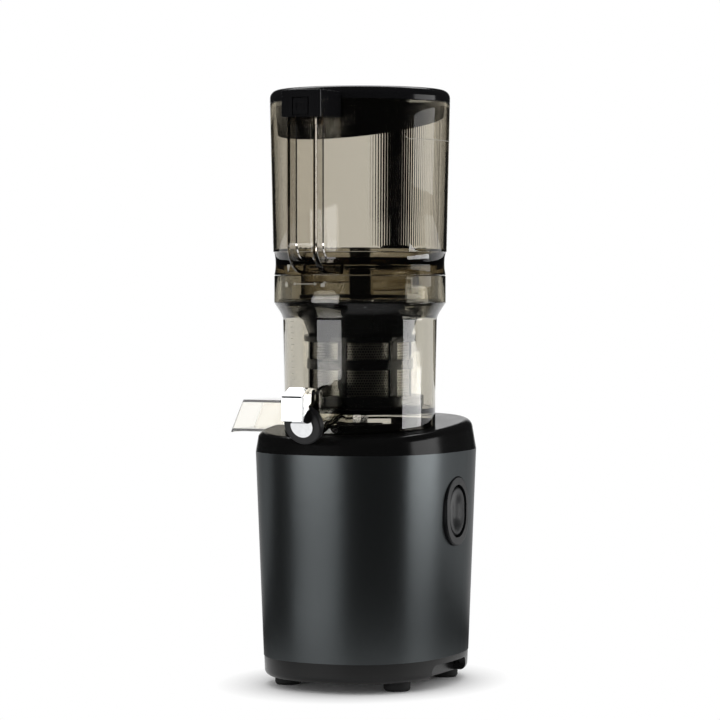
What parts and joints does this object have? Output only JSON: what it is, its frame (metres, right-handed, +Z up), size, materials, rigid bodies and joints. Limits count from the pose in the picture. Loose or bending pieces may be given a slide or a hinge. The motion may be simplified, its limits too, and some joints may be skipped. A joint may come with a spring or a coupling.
{
  "type": "cold press juicer",
  "caption": "Upright slow juicer: motor base with a rocker switch, clear juicing drum with strainer, screw, spout and pulp chute, and a wide clear hopper with a hinged lid.",
  "frame": {"origin": "under the middle of the whole machine, in the plane that the feet stand on", "axes": "+Z up, parallel to the drive axis at x 0.018 m and y 0.006 m, -Y to the front with the juice spout and handle, -X to the pulp chute, +X to the switch"},
  "size_m": [0.2062, 0.2483, 0.4982],
  "materials": {
    "sleeve": "satin anthracite metal",
    "cover": "black moulded plastic, satin gloss",
    "tray": "black moulded plastic",
    "rubber": "black rubber",
    "switch": "black switch plastic",
    "steel": "machined steel",
    "lamination": "stacked steel sheet",
    "copper": "varnished copper wire",
    "casting": "die-cast",
    "gear_plastic": "natural gear plastic",
    "board": "circuit board",
    "clear": "clear smoke-brown plastic",
    "silicone": "black silicone",
    "frame_plastic": "dark blue-grey plastic",
    "mesh": "perforated steel sheet",
    "screw_plastic": "dark moulded plastic",
    "chrome": "bright plated",
    "lid": "black moulded plastic, polished"
  },
  "bodies": {
    "base": {"base_sleeve": "sleeve", "top_cover": "cover", "bottom_tray": "tray", "rubber_feet": "rubber", "cord_grommet": "rubber", "switch_bezel": "switch", "switch_body": "switch", "motor_stator": "lamination", "motor_windings": "copper", "motor_bracket": "casting", "gearbox_housing": "casting", "gearbox_cover": "casting", "rotor_bearings": "steel", "layshaft_bearings": "steel", "drive_bearings": "steel", "drive_shaft_seal": "silicone", "control_board": "board", "gearbox_dampers": "rubber", "gearbox_screws": "steel"},
    "rocker": {"switch_rocker": "switch"},
    "rotor": {"motor_rotor": "lamination", "motor_shaft": "steel", "cooling_fan": "gear_plastic"},
    "layshaft": {"layshaft_gear": "gear_plastic", "layshaft_pinion": "steel"},
    "drive": {"drive_gear": "steel", "drive_shaft": "steel"},
    "drum": {"juicing_drum": "clear", "juice_spout": "clear", "pulp_chute": "clear", "drum_gasket": "silicone", "pulp_packing": "silicone", "strainer_frame": "frame_plastic", "strainer_mesh": "mesh", "strainer_funnel": "frame_plastic", "cap_pin": "steel"},
    "cap": {"spout_cap": "chrome", "spout_cap_seal": "silicone"},
    "screw": {"juicing_screw": "screw_plastic", "screw_bush": "steel", "feeding_wing": "screw_plastic"},
    "hopper": {"hopper_shell": "clear", "hopper_handle": "clear", "handle_bridge": "lid", "hopper_column": "lid", "hopper_seal": "silicone", "lid_pin": "steel"},
    "lid": {"lid_cover": "lid", "lid_skirt": "lid", "lid_latch_block": "lid"},
    "latch": {"latch_tongue": "lid"}
  },
  "joints": [
    {"name": "rocker_tilt", "type": "hinge", "parent": "base", "child": "rocker", "pos_m": [0.0963, 0.017, 0.146], "axis": [0, 1, 0], "range_deg": [-7, 7], "stiffness_Nm_per_rad": 0.02},
    {"name": "rotor_spin", "type": "hinge", "parent": "base", "child": "rotor", "pos_m": [0.018, 0.006, 0.07], "axis": [0, 0, 1], "continuous": true},
    {"name": "layshaft_spin", "type": "hinge", "parent": "base", "child": "layshaft", "pos_m": [0.018, 0.042, 0.13], "axis": [0, 0, 1], "continuous": true},
    {"name": "drive_spin", "type": "hinge", "parent": "base", "child": "drive", "pos_m": [0.018, 0.006, 0.2], "axis": [0, 0, 1], "continuous": true},
    {"name": "drum_lift", "type": "slide", "parent": "base", "child": "drum", "axis": [0, 0, 1], "range_m": [0, 0.06]},
    {"name": "cap_flip", "type": "hinge", "parent": "drum", "child": "cap", "pos_m": [0.018, -0.0945, 0.2465], "axis": [-1, 0, 0], "range_deg": [0, 100]},
    {"name": "screw_spin", "type": "hinge", "parent": "drum", "child": "screw", "pos_m": [0.018, 0.006, 0.28], "axis": [0, 0, 1], "continuous": true},
    {"name": "hopper_twist", "type": "hinge", "parent": "drum", "child": "hopper", "pos_m": [0.018, 0.006, 0.342], "axis": [0, 0, 1], "range_deg": [0, 30]},
    {"name": "lid_open", "type": "hinge", "parent": "hopper", "child": "lid", "pos_m": [0.018, 0.088, 0.487], "axis": [-1, 0, 0], "range_deg": [0, 105]},
    {"name": "latch_press", "type": "hinge", "parent": "lid", "child": "latch", "pos_m": [0.018, -0.1039, 0.4842], "axis": [1, 0, 0], "range_deg": [0, 7], "stiffness_Nm_per_rad": 0.02}
  ],
  "couplings": [
    {"joint": "layshaft_spin", "follows": "rotor_spin", "ratio": -0.25},
    {"joint": "drive_spin", "follows": "rotor_spin", "ratio": 0.05},
    {"joint": "screw_spin", "follows": "rotor_spin", "ratio": 0.05}
  ]
}
